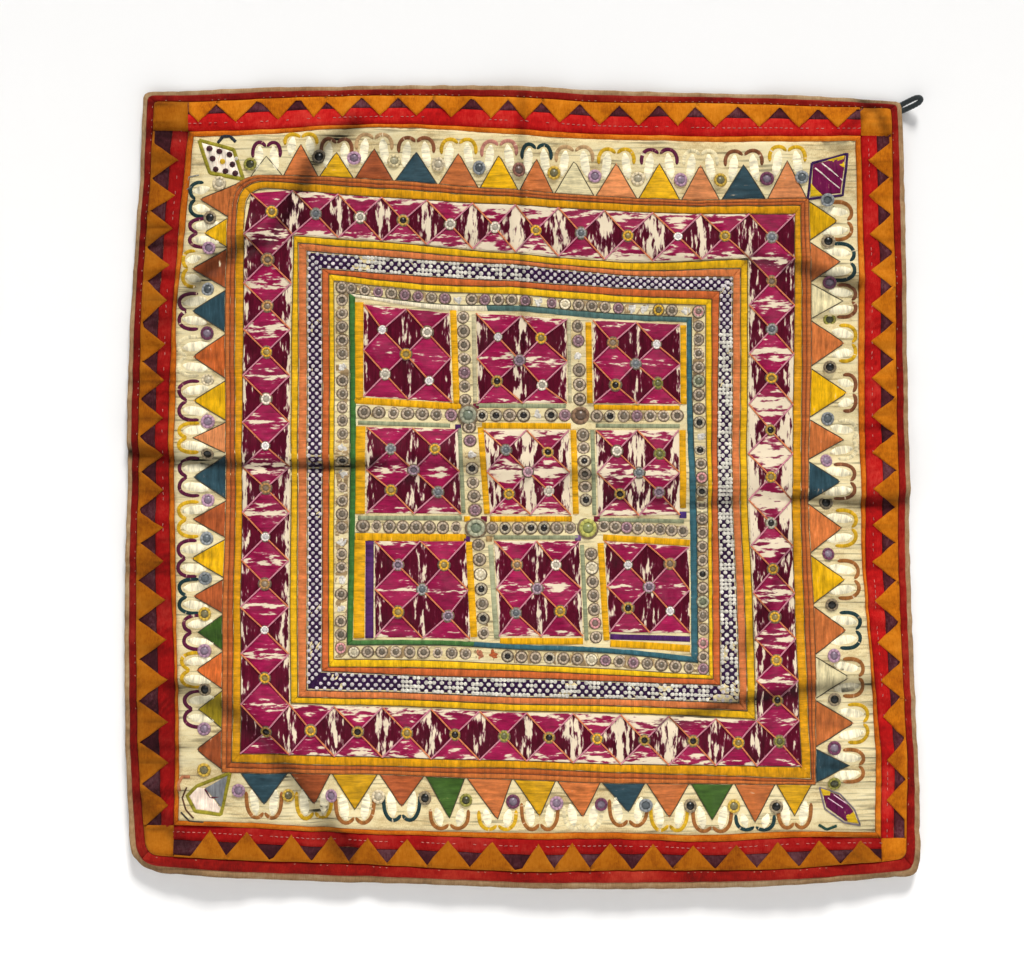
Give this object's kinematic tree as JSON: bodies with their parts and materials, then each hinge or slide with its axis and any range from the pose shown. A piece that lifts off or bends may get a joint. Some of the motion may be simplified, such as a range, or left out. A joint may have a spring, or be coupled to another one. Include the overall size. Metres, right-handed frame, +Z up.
{
  "type": "embroidered mirror-work wall hanging with a hanging loop",
  "caption": "Square embroidered wall hanging with mirror work, a sawtooth applique border, bound edges and a braid hanging loop, hung flat with its storage folds.",
  "frame": {"origin": "in the wall's plane behind the middle of the top edge, 3 mm below the edge, where the wall holds the hanging", "axes": "+Z up, +X to the right seen from the front, and the embroidered face looks towards -Y; the cloth hangs in the XZ plane"},
  "size_m": [0.7995, 0.0203, 0.8048],
  "materials": {
    "ground_cotton": "plain-woven unbleached cotton, matt",
    "ivory_embroidery": "ivory cotton satin worked with floss silk, mirrors and braid",
    "orange_cotton": "orange plain-woven cotton, folded to points, matt",
    "maroon_cotton": "faded maroon cotton, matt",
    "red_cotton": "bright red cotton with white running stitch, matt",
    "orange_piping": "orange cotton folded round a cord, matt",
    "binding_cotton": "dark red cotton binding, worn at its fold",
    "loop_braid": "soft black cotton braid"
  },
  "bodies": {
    "root": {"ground_cloth": "ground_cotton", "embroidered_centre": "ivory_embroidery", "piping_top": "orange_piping", "piping_right": "orange_piping", "piping_bottom": "orange_piping", "piping_left": "orange_piping", "red_strip_top": "red_cotton", "red_strip_right": "red_cotton", "red_strip_bottom": "red_cotton", "red_strip_left": "red_cotton", "maroon_strip_top": "maroon_cotton", "maroon_strip_right": "maroon_cotton", "maroon_strip_bottom": "maroon_cotton", "maroon_strip_left": "maroon_cotton", "sawtooth_top": "orange_cotton", "sawtooth_right": "orange_cotton", "sawtooth_bottom": "orange_cotton", "sawtooth_left": "orange_cotton", "binding_top": "binding_cotton", "binding_right": "binding_cotton", "binding_bottom": "binding_cotton", "binding_left": "binding_cotton", "hanging_loop": "loop_braid"}
  },
  "joints": []
}
